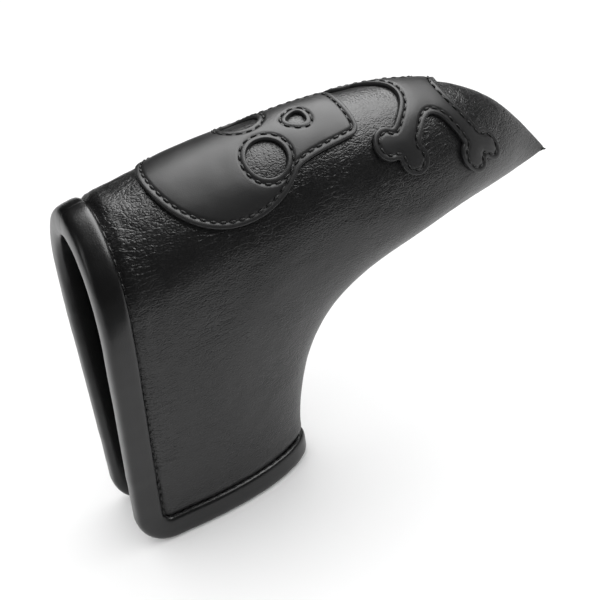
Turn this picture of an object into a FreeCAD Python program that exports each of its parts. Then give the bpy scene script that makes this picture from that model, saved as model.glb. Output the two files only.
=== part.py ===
import FreeCAD, Part
import math
import os

# Blade putter head cover: a padded artificial leather boot, open at the heel and at the hem.
#
# Frame: millimetres, +X from the mouth at the heel towards the toe, +Y to the back, +Z up, standing on
# its hem with the origin at the centre of the bounding box's underside. The wall has three layers:
# leather outside, foam, and plush lining. The front and the back of the neck end in a free corner, the
# flap, which bends open and shut about a line from the mouth edge to the hem and holds a closing magnet.
# A skull and a pair of crossed bones are cut from thin leather and sewn on top.

Vector = FreeCAD.Vector

# ---- driving dimensions ---------------------------------------------------------------------------
LEATHER = 1.0           # thickness of the leather
FOAM = 3.0              # thickness of the foam under it
LINING = 1.6            # thickness of the plush lining
WALL = LEATHER + FOAM + LINING
GAP = 0.08              # clearance between layers that lie on each other
BINDING = 1.2           # thickness of the leather strip that wraps the mouth's edge
BINDING_WIDTH = 7.0     # how far the strip reaches in from the edge on the outside
BINDING_TURN_IN = 6.0   # how far it reaches in on the inside
CORNER_RADIUS = 10.0    # the free corner of each flap
HEM_Z = BINDING + GAP   # the wall's lower edge, just above the strip that wraps it
CENTRE_X = 82.68        # from the mouth line's own zero to the bounding box's centre

# Outline in the centre plane. Each entry is (x, z) and the way that it moves, (dx, dz), for each
# millimetre that a layer lies below the outer face. The two curves meet at the tip of the toe.
RIDGE = [((3.0, 110.0), (-0.05, -1.0)), ((43.0, 121.5), (0.1, -1.0)), ((128.0, 121.0), (-0.5, -1.0)),
         ((133.0, 126.0), (-1.1, -0.9)), ((164.2, 84.2), (-1.4, -0.25)), ((170.0, 76.2), (-1.5, 0.3))]
SEAM = [((60.0, 0.0), (-1.0, 0.0)), ((62.0, 35.5), (-1.0, 0.2)), ((71.0, 70.0), (-0.9, 0.7)),
        ((103.0, 70.5), (-0.2, 1.0)), ((167.0, 72.0), (-1.5, 0.8)), ((170.0, 76.2), (-1.5, 0.3))]
MOUTH_FOOT_X = -4.0     # the mouth line's lower end, its upper end being the ridge's first point

# Half of the distance from the front to the back.
LOW_AT_MOUTH, LOW_AT_SEAM = 14.8, 15.7
HIGH_AT_MOUTH, HIGH_BEYOND = 24.6, 22.8
TOE_TAPER, TAPER_START = 0.78, 78.0
# How deep the rounding goes, from the ridge and from the under-seam.
RIDGE_ROUND = 27.0
SEAM_ROUND_NECK, SEAM_ROUND_TOE = 43.0, 17.0

# The bending line of a flap, from the mouth's edge to the hem, a little outside the leather.
BEND_MOUTH_Z, BEND_HEM_X = 80.0, 47.0
BEND_PROUD = 3.0
BEND_GAP = 0.35
CLOSING_ANGLE = 13.0    # the flap's cut edge leans by this much, so that the flap can swing inwards

MAGNET_RADIUS, MAGNET_THICK = 7.5, 1.6
MAGNET_AT = (12.0, 18.0)        # x from the mouth line's zero, z above the hem
MAGNET_DEPTH = LEATHER + 0.4    # below the leather's outer face
PATCH_RADIUS, PATCH_THICK = 10.5, 0.4
TAPE_WIDTH, TAPE_THICK = 9.0, 0.4
STITCH_PITCH, STITCH_LENGTH, THREAD_RADIUS = 3.1, 2.2, 0.3

APPLIQUE = 1.3          # thickness of the sewn-on shapes
MOTIF_TILT = 12.0       # the way that they face, in degrees from straight up towards the front
MOTIF_RADIUS = 24.0     # radius of the top that they wrap
MOTIF_CENTRE_Z = 96.0   # height of that top's centre line
STITCH_INSET = 1.75     # from a shape's edge to its row of stitches
MOTIF_AXIS_Q = 6.0      # the motif's axis lies this far in front of the ridge, along the surface
CRANIUM_CENTRE, CRANIUM_RADIUS = (49.0, 0.0), 24.0
JAW_END, JAW_HALF_WIDTH, JAW_CORNER = 90.0, 12.0, 4.0
EYE_CENTRE, EYE_RADIUS = (60.0, 9.0), 6.2
NOSE = [(69.5, 0.0), (77.0, 4.2), (77.0, -4.2)]
BONES_CENTRE_X = 116.0
BONE_TILT = 52.0        # each bone's angle from the motif's axis, in degrees
BONE_REACH = 25.0       # from the crossing to the middle of a bone's two knobs
BONE_HALF_WIDTH, KNOB_OFFSET, KNOB_RADIUS = 4.2, 4.6, 5.2

SPLIT = 0.38            # where the crown's two patches meet on the under-seam
GRID = 28               # points along each side of a patch


# ---- the surface ----------------------------------------------------------------------------------
def bezier(points, t):
    n = len(points) - 1
    share = [math.comb(n, k) * t ** k * (1 - t) ** (n - k) for k in range(n + 1)]
    return tuple(sum(s * p[c] for s, p in zip(share, points)) for c in (0, 1))


def smooth(t):
    t = min(1.0, max(0.0, t))
    return t * t * (3 - 2 * t)


def quarter(depth, radius):
    """Height of a quarter circle at a depth from its edge, from 0 to 1."""
    rest = 1 - min(1.0, max(0.0, depth / radius))
    return math.sqrt(1 - rest * rest)


def distance(x, z, line):
    best = 1e9
    for (ax, az), (bx, bz) in zip(line, line[1:]):
        dx, dz = bx - ax, bz - az
        t = ((x - ax) * dx + (z - az) * dz) / (dx * dx + dz * dz)
        t = min(1.0, max(0.0, t))
        best = min(best, (x - ax - t * dx) ** 2 + (z - az - t * dz) ** 2)
    return math.sqrt(best)


class Layer:
    """One face of the wall, at a depth below the leather's outer face. A negative depth is outside."""

    def __init__(self, depth):
        self.depth = depth
        self.ridge = [(x + dx * depth, z + dz * depth) for (x, z), (dx, dz) in RIDGE]
        self.seam = [(x + dx * depth, z + dz * depth) for (x, z), (dx, dz) in SEAM]
        self.seam[0] = (self.seam[0][0], 0.0)
        steps = [k / 80 for k in range(-8, 81)]
        self.ridge_line = [bezier(self.ridge, t) for t in steps]
        self.seam_line = [bezier(self.seam, t) for t in steps]

    def half_width(self, x, z):
        low = LOW_AT_MOUTH + (LOW_AT_SEAM - LOW_AT_MOUTH) * min(1.0, max(0.0, x / SEAM[0][0][0]))
        high = HIGH_AT_MOUTH + (HIGH_BEYOND - HIGH_AT_MOUTH) * smooth(x / 70)
        width = low + (high - low) * smooth(z / 95)
        tip_x = RIDGE[-1][0][0]
        along = min(1.0, max(0.0, (x - TAPER_START) / (tip_x - TAPER_START)))
        width = width * (1 - TOE_TAPER * along ** 2) - self.depth
        seam_round = SEAM_ROUND_NECK + (SEAM_ROUND_TOE - SEAM_ROUND_NECK) * smooth((x - 60) / 50)
        near_ridge = quarter(distance(x, z, self.ridge_line), RIDGE_ROUND - 0.8 * self.depth)
        near_seam = quarter(distance(x, z, self.seam_line), seam_round - 0.8 * self.depth)
        return max(0.0, width) * near_ridge * near_seam

    def on_panel(self, x, z):
        """The point of the front half at a place in the side view."""
        return Vector(x - CENTRE_X, -self.half_width(x, z), z + HEM_Z)

    def normal(self, x, z):
        """The outward direction there."""
        across = self.on_panel(x + 0.5, z) - self.on_panel(x - 0.5, z)
        up = self.on_panel(x, z + 0.5) - self.on_panel(x, z - 0.5)
        return across.cross(up).normalize()

    def ridge_height(self, x):
        for (ax, az), (bx, bz) in zip(self.ridge_line, self.ridge_line[1:]):
            if ax <= x <= bx:
                return az + (bz - az) * (x - ax) / (bx - ax)
        return self.ridge_line[0][1]

    def over_ridge(self, x, places):
        """Points at arc lengths from the ridge along x = const, counted towards the front."""
        top = self.ridge_height(x)
        line = [self.on_panel(x, top - 40.0 * (k / 60) ** 2) for k in range(1, 61)]
        line.insert(0, Vector(x - CENTRE_X, 0, top + HEM_Z))
        found = []
        for q in places:
            left, k = abs(q), 0
            while left > (line[k + 1] - line[k]).Length:
                left -= (line[k + 1] - line[k]).Length
                k += 1
            step = line[k + 1] - line[k]
            spot = line[k] + step * (left / step.Length)
            found.append(Vector(spot.x, spot.y if q > 0 else -spot.y, spot.z))
        return found


def crowded(count, towards_end):
    """Places from 0 to 1, evenly spaced or closer together towards 1."""
    even = [k / count for k in range(count)]
    return [math.sin(math.pi / 2 * t) if towards_end else t for t in even] + [1.0]


def line_from(a, b):
    return lambda t: (a[0] + (b[0] - a[0]) * t, a[1] + (b[1] - a[1]) * t)


def four_sided(left, right, bottom, top):
    """A place in the side view inside four curves, for i from left to right and j from bottom to top."""
    def place(i, j):
        corners = (bottom(0), bottom(1), top(0), top(1))
        spot = []
        for c in (0, 1):
            blend = ((1 - i) * (1 - j) * corners[0][c] + i * (1 - j) * corners[1][c]
                     + (1 - i) * j * corners[2][c] + i * j * corners[3][c])
            sides = (1 - i) * left(j)[c] + i * right(j)[c]
            spot.append(sides + (1 - j) * bottom(i)[c] + j * top(i)[c] - blend)
        return spot
    return place


def patch(layer, region, counts, to_seam, to_ridge):
    """The layer's face over a region of the side view. It lies in y = 0 along the seam and the ridge."""
    rows = []
    for i in crowded(counts[0], to_seam):
        row = []
        for j in crowded(counts[1], to_ridge):
            spot = layer.on_panel(*region(i, j))
            if (to_seam and i == 1) or (to_ridge and j == 1):
                spot.y = 0.0
            row.append(spot)
        rows.append(row)
    face = Part.BSplineSurface()
    face.interpolate(rows)
    return face


def borders(face):
    u0, u1, v0, v1 = face.bounds()
    return [face.uIso(u0).toShape(), face.uIso(u1).toShape(),
            face.vIso(v0).toShape(), face.vIso(v1).toShape()]


def rims(first, second):
    """The faces between two surfaces' borders. A rim that lies in a plane is a true plane."""
    found = []
    for a, b in zip(borders(first), borders(second)):
        rim = Part.makeRuledSurface(a, b)
        plane = rim.findPlane(1e-6)
        found.append(Part.Face(plane, rim.OuterWire) if plane else rim)
    return found


def closed_solid(faces):
    shell = Part.Shell(faces)
    shell.sewShape()
    if shell.ShapeType != "Shell":
        shell = shell.Shells[0]
    solid = Part.Solid(shell)
    if solid.Volume < 0:
        solid.reverse()
    return solid


def slab(outer_depth, inner_depth, region_of, counts, to_seam=False, to_ridge=False):
    """A piece of the front half between two depths. region_of gives each layer's region."""
    faces = []
    for depth in (outer_depth, inner_depth):
        layer = Layer(depth)
        faces.append(patch(layer, region_of(layer), counts, to_seam, to_ridge))
    return closed_solid([faces[0].toShape(), faces[1].toShape()] + rims(*faces))


# ---- the mouth's edge and the bending line, in the side view --------------------------------------
def edge_frame():
    """Mouth line: its foot, its direction upwards, and its outward direction."""
    top = RIDGE[0][0]
    length = math.hypot(top[0] - MOUTH_FOOT_X, top[1])
    along = ((top[0] - MOUTH_FOOT_X) / length, top[1] / length)
    return (MOUTH_FOOT_X, 0.0), along, (-along[1], along[0])


def corner_centre():
    foot, along, out = edge_frame()
    return foot[0] + CORNER_RADIUS * (1 + along[0]) / along[1], CORNER_RADIUS


def crossing(p, d, q, e):
    """Where the line from p along d meets the line from q along e."""
    det = d[0] * -e[1] + d[1] * e[0]
    t = ((q[0] - p[0]) * -e[1] + (q[1] - p[1]) * e[0]) / det
    return p[0] + d[0] * t, p[1] + d[1] * t


def mouth_line(inset):
    """A point and the direction of the line that runs inside the mouth's edge by an inset."""
    foot, along, out = edge_frame()
    return (foot[0] - out[0] * inset, foot[1] - out[1] * inset), along


def bend_ends():
    foot, along = mouth_line(0)
    return (foot[0] + along[0] * BEND_MOUTH_Z / along[1], BEND_MOUTH_Z), (BEND_HEM_X, 0.0)


def front_bend_axis():
    """Two points of the line that the front flap turns about."""
    outer = Layer(0)
    return [outer.on_panel(*end) + Vector(0, -BEND_PROUD, 0) for end in bend_ends()]


def cut_line(layer, for_flap):
    """A point and the direction of a cut edge in the side view.

    The crown's edge lies straight behind the bending line. The flap's edge leans away from it with
    depth, so that the flap can swing inwards.
    """
    ends = bend_ends()
    axis = front_bend_axis()
    moved = []
    dx, dz = ends[1][0] - ends[0][0], ends[1][1] - ends[0][1]
    length = math.hypot(dx, dz)
    to_flap = (dz / length, -dx / length)
    for end, on_axis in zip(ends, axis):
        below = layer.on_panel(*end).y - on_axis.y
        shift = BEND_GAP / 2 + below * math.tan(math.radians(CLOSING_ANGLE)) if for_flap else -BEND_GAP / 2
        moved.append((end[0] + to_flap[0] * shift, end[1] + to_flap[1] * shift))
    return moved[0], (moved[1][0] - moved[0][0], moved[1][1] - moved[0][1])


def on_mouth(layer, inset, for_flap):
    """Where the cut edge meets the mouth line, inside by an inset."""
    start, way = cut_line(layer, for_flap)
    return crossing(*mouth_line(inset), start, way)


def on_hem(layer, inset, for_flap):
    start, way = cut_line(layer, for_flap)
    return crossing((0, inset), (1, 0), start, way)


def ridge_meets_mouth(layer, inset):
    """The ridge's place, from 0 at the mouth's edge, where the inset mouth line crosses it."""
    foot, along, out = edge_frame()
    low, high = -0.08, 0.12
    for step in range(40):
        t = (low + high) / 2
        x, z = bezier(layer.ridge, t)
        if -((x - foot[0]) * out[0] + (z - foot[1]) * out[1]) < inset:
            low = t
        else:
            high = t
    return t


def seam_at(layer, z):
    """The seam's place at a height near the hem."""
    low, high = -0.08, 0.2
    for step in range(40):
        t = (low + high) / 2
        if bezier(layer.seam, t)[1] < z:
            low = t
        else:
            high = t
    return t


# ---- the regions ----------------------------------------------------------------------------------
def neck_region(layer):
    """From the front of the bending line to the under-seam, below the line that splits the crown."""
    a, b = on_mouth(layer, 0, False), on_hem(layer, 0, False)
    return four_sided(line_from(b, a), lambda t: bezier(layer.seam, SPLIT * t),
                      line_from(b, bezier(layer.seam, 0)), line_from(a, bezier(layer.seam, SPLIT)))


def top_region(layer):
    """The rest of the crown, from the mouth to the toe."""
    a = on_mouth(layer, 0, False)
    start = ridge_meets_mouth(layer, 0)
    return four_sided(line_from(a, bezier(layer.ridge, start)),
                      lambda t: bezier(layer.seam, SPLIT + (1 - SPLIT) * t),
                      line_from(a, bezier(layer.seam, SPLIT)),
                      lambda t: bezier(layer.ridge, start + (1 - start) * t))


def corner_arc(inset):
    cx, cz = corner_centre()
    foot, along, out = edge_frame()
    start = math.atan2(out[1], out[0])
    turn = 1.5 * math.pi - start
    radius = CORNER_RADIUS - inset
    return lambda t: (cx + radius * math.cos(start + turn * t), cz + radius * math.sin(start + turn * t))


def flap_region(layer):
    a, b = on_mouth(layer, 0, True), on_hem(layer, 0, True)
    arc = corner_arc(0)
    return four_sided(line_from(arc(0), a), line_from(arc(1), b), arc, line_from(a, b))


def mouth_band(outside, inside):
    """The crown's part of the strip along the mouth, between two insets."""
    def region_of(layer):
        starts = [ridge_meets_mouth(layer, w) for w in (outside, inside)]
        lows = [on_mouth(layer, w, False) for w in (outside, inside)]
        return four_sided(line_from(lows[0], bezier(layer.ridge, starts[0])),
                          line_from(lows[1], bezier(layer.ridge, starts[1])),
                          line_from(lows[0], lows[1]),
                          lambda t: bezier(layer.ridge, starts[0] + (starts[1] - starts[0]) * t))
    return region_of


def hem_band(outside, inside):
    """The crown's part of the strip along the hem. i runs to the seam."""
    def region_of(layer):
        starts = [on_hem(layer, w, False) for w in (outside, inside)]
        ends = [seam_at(layer, w) for w in (outside, inside)]
        return four_sided(line_from(starts[0], starts[1]),
                          lambda t: bezier(layer.seam, ends[0] + (ends[1] - ends[0]) * t),
                          line_from(starts[0], bezier(layer.seam, ends[0])),
                          line_from(starts[1], bezier(layer.seam, ends[1])))
    return region_of


def flap_edge(layer, inset):
    """The flap's edge line, inside by an inset: down the mouth, round the corner and along the hem."""
    top, end = on_mouth(layer, inset, True), on_hem(layer, inset, True)
    arc = corner_arc(inset)

    def at(t):
        if t < 0.5:
            return line_from(top, arc(0))(t / 0.5)
        if t < 0.7:
            return arc((t - 0.5) / 0.2)
        return line_from(arc(1), end)((t - 0.7) / 0.3)
    return at


def flap_band(outside, inside):
    def region_of(layer):
        lines = [flap_edge(layer, outside), flap_edge(layer, inside)]
        return lambda i, j: line_from(lines[0](i), lines[1](i))(j)
    return region_of


def tape_region(layer):
    """Along the under-seam, in from it until the tape's half width is reached."""
    def place(i, j):
        t = 0.05 + 0.75 * j
        x, z = bezier(layer.seam, t)
        ax, az = bezier(layer.seam, t + 0.001)
        length = math.hypot(ax - x, az - z)
        inwards = (-(az - z) / length, (ax - x) / length)
        low, high = 0.0, 12.0
        for step in range(30):
            d = (low + high) / 2
            if layer.half_width(x + inwards[0] * d, z + inwards[1] * d) < TAPE_WIDTH / 2:
                low = d
            else:
                high = d
        return x + inwards[0] * d * (1 - i), z + inwards[1] * d * (1 - i)
    return place


# ---- joining ---------------------------------------------------------------------------------------
def pieces(shape):
    """A shape as one solid, or as a compound when it is in several."""
    solids = [s for s in shape.Solids if s.Volume > 0.05]
    return solids[0] if len(solids) == 1 else Part.makeCompound(solids)


def mirrored(shape):
    return shape.mirror(Vector(0, 0, 0), Vector(0, 1, 0))


def fused(first, second):
    return first.fuse(second).removeSplitter()


# ---- the stitches ---------------------------------------------------------------------------------
def spaced(line, pitch, closed=False):
    """Pairs of ends of each stitch along a line of points in a plane."""
    if closed:
        line = line + [line[0]]
    lengths = [math.dist(a, b) for a, b in zip(line, line[1:])]
    total = sum(lengths)
    count = int(total / pitch)

    def at(s):
        for (a, b), length in zip(zip(line, line[1:]), lengths):
            if s <= length and length > 0:
                return a[0] + (b[0] - a[0]) * s / length, a[1] + (b[1] - a[1]) * s / length
            s -= length
        return line[-1]

    step = total / count
    return [(at(k * step + 0.1), at(k * step + 0.1 + STITCH_LENGTH)) for k in range(count)]


def rod(a, b):
    return Part.makeCylinder(THREAD_RADIUS, (b - a).Length, a, b - a)


def stitched(lines):
    """The front half's stitches through the binding, along side-view lines."""
    layer = Layer(-BINDING - GAP - THREAD_RADIUS - 0.1)
    rods = []
    for line in lines:
        for start, end in spaced(line, STITCH_PITCH):
            rods.append(rod(layer.on_panel(*start), layer.on_panel(*end)))
    return rods


def crown_stitch_lines():
    inset = BINDING_WIDTH - 1.4
    layer = Layer(-BINDING)
    cut = on_mouth(layer, inset, False)
    top = mouth_line(inset)[0]
    low = line_from(cut, (top[0] + 7, 110))
    hem = on_hem(layer, inset, False)
    return [[low(0.04), low(0.9)], [(hem[0] + 1.5, inset), (SEAM[0][0][0] - 1.2, inset)]]


def flap_stitch_lines():
    edge = flap_edge(Layer(-BINDING), BINDING_WIDTH - 1.4)
    return [[edge(0.02 + 0.95 * k / 60) for k in range(61)]]


def moved_outline(outline, distance):
    """An outline moved outwards by a distance, as a list of points."""
    wire = Part.makePolygon([Vector(x, w, 0) for x, w in outline + outline[:1]])
    return [(p.x, p.y) for p in wire.makeOffset2D(distance).discretize(Distance=0.8)]


def motif_stitches(outline, holes, axis_q):
    """Stitches on top of a sewn-on shape, round its edge and round its holes."""
    layer = Layer(-APPLIQUE - GAP - THREAD_RADIUS - 0.05)
    lines = [moved_outline(outline, -STITCH_INSET)] + [moved_outline(h, STITCH_INSET) for h in holes]
    rods = []
    for line in lines:
        for start, end in spaced(line, STITCH_PITCH, closed=True):
            a, b = [layer.over_ridge(x, [w + axis_q])[0] for x, w in (start, end)]
            rods.append(rod(a, b))
    return Part.makeCompound(rods)


# ---- the sewn-on shapes ---------------------------------------------------------------------------
def plan(x, w, axis_q):
    """A place on a shape, seen along the way that the motif faces, and that direction."""
    q = w + axis_q - MOTIF_RADIUS * math.radians(MOTIF_TILT)
    tilt = math.radians(MOTIF_TILT)
    up = Vector(0, -math.sin(tilt), math.cos(tilt))
    front = Vector(0, -math.cos(tilt), -math.sin(tilt))
    centre = Vector(x - CENTRE_X, 0, MOTIF_CENTRE_Z)
    return centre + front * (MOTIF_RADIUS * math.sin(q / MOTIF_RADIUS)) - up * 6, up


def cut_out(line, axis_q):
    points = [plan(x, w, axis_q)[0] for x, w in line]
    up = plan(0, 0, axis_q)[1]
    return Part.Face(Part.makePolygon(points + [points[0]])).extrude(up * 60)


def both_sides(line):
    """A near-side outline that starts and ends on the axis, with its mirror image."""
    return line + [(x, -w) for x, w in reversed(line) if w > 0.01]


def sewn_on(block, line, axis_q):
    """The part of the layer on top of the leather that lies in a block. line is the shape's outline."""
    reach = max(w for x, w in line) + 3
    first = min(x for x, w in line) - 3
    last = max(x for x, w in line) + 3
    faces = []
    for depth in (-APPLIQUE - GAP, -GAP):
        layer = Layer(depth)
        rows = []
        for k in range(GRID + 1):
            x = first + (last - first) * k / GRID
            rows.append(layer.over_ridge(x, [axis_q + reach * (m / 12 - 1) for m in range(25)]))
        face = Part.BSplineSurface()
        face.interpolate(rows)
        faces.append(face)
    sheet = closed_solid([faces[0].toShape(), faces[1].toShape()] + rims(*faces))
    return sheet.common(block)


def arc(centre, radius, start, end, count):
    """Points along an arc, with its angles in degrees from the motif's axis."""
    angles = [math.radians(start + (end - start) * k / count) for k in range(count + 1)]
    return [(centre[0] + radius * math.cos(a), centre[1] + radius * math.sin(a)) for a in angles]


def skull_outline():
    """A round cranium towards the mouth and a narrower jaw with rounded corners towards the toe."""
    corner = (JAW_END - JAW_CORNER, JAW_HALF_WIDTH - JAW_CORNER)
    cranium = arc(CRANIUM_CENTRE, CRANIUM_RADIUS, 180, 36, 12)
    return both_sides(cranium + arc(corner, JAW_CORNER, 90, 0, 3) + [(JAW_END, 0)])


def eye_outline(side):
    return [(x, w * side) for x, w in arc(EYE_CENTRE, EYE_RADIUS, 0, 330, 11)]


def bone_end():
    """The end of a bone that lies along its own axis: two round knobs with a notch between them."""
    start = 180 - math.degrees(math.asin((KNOB_OFFSET - BONE_HALF_WIDTH) / KNOB_RADIUS))
    notch = 360 + math.degrees(math.asin(KNOB_OFFSET / KNOB_RADIUS))
    knob = arc((BONE_REACH, -KNOB_OFFSET), KNOB_RADIUS, start, notch, 11)
    return knob + [(u, -v) for u, v in reversed(knob[:-1])]


def turned(point, a):
    u, v = point
    return u * math.cos(a) - v * math.sin(a), u * math.sin(a) + v * math.cos(a)


def bones_outline():
    """Two straight bones that cross, walked arm by arm with the inner corner after each."""
    arms = [BONE_TILT, 180 - BONE_TILT, 180 + BONE_TILT, 360 - BONE_TILT]
    outline = []
    for arm, following in zip(arms, arms[1:] + [360 + BONE_TILT]):
        a = math.radians(arm)
        outline += [turned(point, a) for point in bone_end()]
        half_gap = math.radians(following - arm) / 2
        corner = BONE_HALF_WIDTH / math.sin(half_gap)
        outline.append((corner * math.cos(a + half_gap), corner * math.sin(a + half_gap)))
    return [(BONES_CENTRE_X + x, w) for x, w in outline]


def skull():
    block = cut_out(skull_outline(), MOTIF_AXIS_Q)
    for hole in (eye_outline(1), eye_outline(-1), NOSE):
        block = block.cut(cut_out(hole, MOTIF_AXIS_Q))
    return sewn_on(block, skull_outline(), MOTIF_AXIS_Q)


def crossbones():
    return sewn_on(cut_out(bones_outline(), MOTIF_AXIS_Q), bones_outline(), MOTIF_AXIS_Q)


# ---- the layers -----------------------------------------------------------------------------------
def crown_half(outer_depth, inner_depth):
    """The crown's two pieces on the front: around the neck, and from there to the toe."""
    neck = slab(outer_depth, inner_depth, neck_region, (GRID, GRID), to_seam=True)
    top = slab(outer_depth, inner_depth, top_region, (GRID, GRID), to_seam=True, to_ridge=True)
    return [neck, top]


def flap_piece(outer_depth, inner_depth):
    return slab(outer_depth, inner_depth, flap_region, (12, 24))


def strip(band, counts, **sides):
    """A length of the binding: outer leg, turn round the edge, and inner leg."""
    out = BINDING + GAP
    outer_leg = slab(-out, -GAP, band(-GAP, BINDING_WIDTH), counts, **sides)
    turn = slab(-out, WALL + out, band(-out, -GAP), counts, **sides)
    inner_leg = slab(WALL + GAP, WALL + out, band(-GAP, BINDING_TURN_IN), counts, **sides)
    return Part.makeCompound([outer_leg, turn, inner_leg])


def magnet_disc(radius, depth, thickness):
    """A disc at the magnet's place, from a depth inwards."""
    layer = Layer(depth)
    return Part.makeCylinder(radius, thickness, layer.on_panel(*MAGNET_AT), layer.normal(*MAGNET_AT) * -1)


def front_flap():
    """The front flap's sub-parts by name."""
    foam_end = LEATHER + FOAM - GAP
    pocket_top = foam_end - PATCH_THICK
    pocket = flap_piece(pocket_top, foam_end).common(magnet_disc(PATCH_RADIUS, LEATHER, FOAM + 2))
    pocket_room = flap_piece(pocket_top - GAP, foam_end + 1)
    pocket_room = pocket_room.common(magnet_disc(PATCH_RADIUS + 0.3, LEATHER, FOAM + 2))
    foam = flap_piece(LEATHER + GAP, foam_end)
    foam = foam.cut(pocket_room).cut(magnet_disc(MAGNET_RADIUS + 0.15, MAGNET_DEPTH - 0.1, FOAM))
    return {
        "leather": flap_piece(0, LEATHER),
        "foam": foam,
        "lining": flap_piece(LEATHER + FOAM, WALL),
        "binding": strip(flap_band, (100, 4)),
        "magnet": magnet_disc(MAGNET_RADIUS, MAGNET_DEPTH, MAGNET_THICK),
        "magnet_pocket": pocket,
        "stitching": Part.makeCompound(stitched(flap_stitch_lines())),
    }


def build():
    """Every sub-part by name."""
    parts = {}
    for name, depths in (("leather_shell", (0, LEATHER)), ("plush_lining", (LEATHER + FOAM, WALL))):
        halves = crown_half(*depths)
        parts[name] = Part.makeCompound(halves + [mirrored(half) for half in halves])
    parts["foam_front_panel"] = Part.makeCompound(crown_half(LEATHER + GAP, LEATHER + FOAM - GAP))
    parts["foam_back_panel"] = mirrored(parts["foam_front_panel"])

    mouth = strip(mouth_band, (4, 40), to_ridge=True)
    parts["mouth_binding"] = Part.makeCompound([mouth, mirrored(mouth)])
    hem = strip(hem_band, (20, 4), to_seam=True)
    parts["hem_binding"] = Part.makeCompound([hem, mirrored(hem)])

    tape = slab(WALL + GAP, WALL + GAP + TAPE_THICK, tape_region, (8, GRID), to_seam=True)
    parts["seam_tape"] = fused(tape, mirrored(tape))
    parts["skull_applique"] = skull()
    parts["crossbones_applique"] = crossbones()
    eyes = [eye_outline(1), eye_outline(-1)]
    parts["skull_stitching"] = motif_stitches(skull_outline(), eyes, MOTIF_AXIS_Q)
    parts["crossbones_stitching"] = motif_stitches(bones_outline(), [], MOTIF_AXIS_Q)
    rods = stitched(crown_stitch_lines())
    parts["crown_stitching"] = Part.makeCompound(rods + [mirrored(r) for r in rods])

    for name, shape in front_flap().items():
        parts["front_flap_" + name] = shape
        parts["back_flap_" + name] = mirrored(shape)
    return parts


os.makedirs("parts", exist_ok=True)
for name, shape in build().items():
    pieces(shape).exportStep("parts/" + name + ".step")
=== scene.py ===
import math

import bpy
import numpy as np
from mathutils import Matrix, Vector, noise
from mathutils.geometry import delaunay_2d_cdt


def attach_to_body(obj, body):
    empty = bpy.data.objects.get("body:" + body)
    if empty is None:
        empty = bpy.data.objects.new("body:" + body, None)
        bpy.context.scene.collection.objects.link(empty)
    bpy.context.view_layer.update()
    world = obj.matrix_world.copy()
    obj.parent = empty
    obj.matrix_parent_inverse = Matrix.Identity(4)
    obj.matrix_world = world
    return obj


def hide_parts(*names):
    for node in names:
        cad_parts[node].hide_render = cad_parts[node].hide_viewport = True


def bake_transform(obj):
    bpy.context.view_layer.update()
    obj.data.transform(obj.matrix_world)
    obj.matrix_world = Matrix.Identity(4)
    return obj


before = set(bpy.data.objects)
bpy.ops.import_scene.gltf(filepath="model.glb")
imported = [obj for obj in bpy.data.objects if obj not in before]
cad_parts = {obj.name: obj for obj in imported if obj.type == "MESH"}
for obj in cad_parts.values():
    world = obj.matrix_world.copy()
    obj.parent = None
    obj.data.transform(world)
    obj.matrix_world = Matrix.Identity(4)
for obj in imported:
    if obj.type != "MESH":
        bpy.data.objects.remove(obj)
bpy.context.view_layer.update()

# The cover's own surface, in millimetres. x runs from the mouth line's zero, z from the wall's lower
# edge; a point is shifted by CENTRE_X and HEM_Z into the row frame.
MM = 0.001
LEATHER, FOAM, LINING = 1.0, 3.0, 1.6
WALL = LEATHER + FOAM + LINING
GAP, STRIP = 0.08, 1.2
HEM_Z, CENTRE_X = STRIP + GAP, 82.68
CORNER_RADIUS = 10.0
RIDGE = np.array([[3.0, 110.0], [43.0, 121.5], [128.0, 121.0], [133.0, 126.0], [164.2, 84.2], [170.0, 76.2]])
RIDGE_MOVE = np.array([[-0.05, -1.0], [0.1, -1.0], [-0.5, -1.0], [-1.1, -0.9], [-1.4, -0.25], [-1.5, 0.3]])
SEAM = np.array([[60.0, 0.0], [62.0, 35.5], [71.0, 70.0], [103.0, 70.5], [167.0, 72.0], [170.0, 76.2]])
SEAM_MOVE = np.array([[-1.0, 0.0], [-1.0, 0.2], [-0.9, 0.7], [-0.2, 1.0], [-1.5, 0.8], [-1.5, 0.3]])
MOUTH_FOOT = np.array([-4.0, 0.0])
LOW_AT_MOUTH, LOW_AT_SEAM, HIGH_AT_MOUTH, HIGH_BEYOND = 14.8, 15.7, 24.6, 22.8
TOE_TAPER, TAPER_START = 0.78, 78.0
RIDGE_ROUND, SEAM_ROUND_NECK, SEAM_ROUND_TOE = 27.0, 43.0, 17.0
BEND_MOUTH_Z, BEND_HEM_X, BEND_PROUD = 80.0, 47.0, 3.0


def bezier(points, t):
    t = np.asarray(t, float)[..., None]
    n = len(points) - 1
    return sum(math.comb(n, k) * t ** k * (1 - t) ** (n - k) * points[k] for k in range(n + 1))


def smooth(t):
    t = np.clip(t, 0, 1)
    return t * t * (3 - 2 * t)


def line_distance(points, line, closed=False):
    """Distance of each point to a polyline."""
    if closed:
        line = np.vstack([line, line[:1]])
    a, d = line[:-1], np.diff(line, axis=0)
    size = np.maximum((d ** 2).sum(1), 1e-12)
    out = np.empty(len(points))
    for k in range(0, len(points), 4000):
        p = points[k:k + 4000, None, :] - a[None]
        t = np.clip((p * d).sum(2) / size, 0, 1)
        out[k:k + 4000] = np.sqrt(((p - t[..., None] * d) ** 2).sum(2).min(1))
    return out


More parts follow.
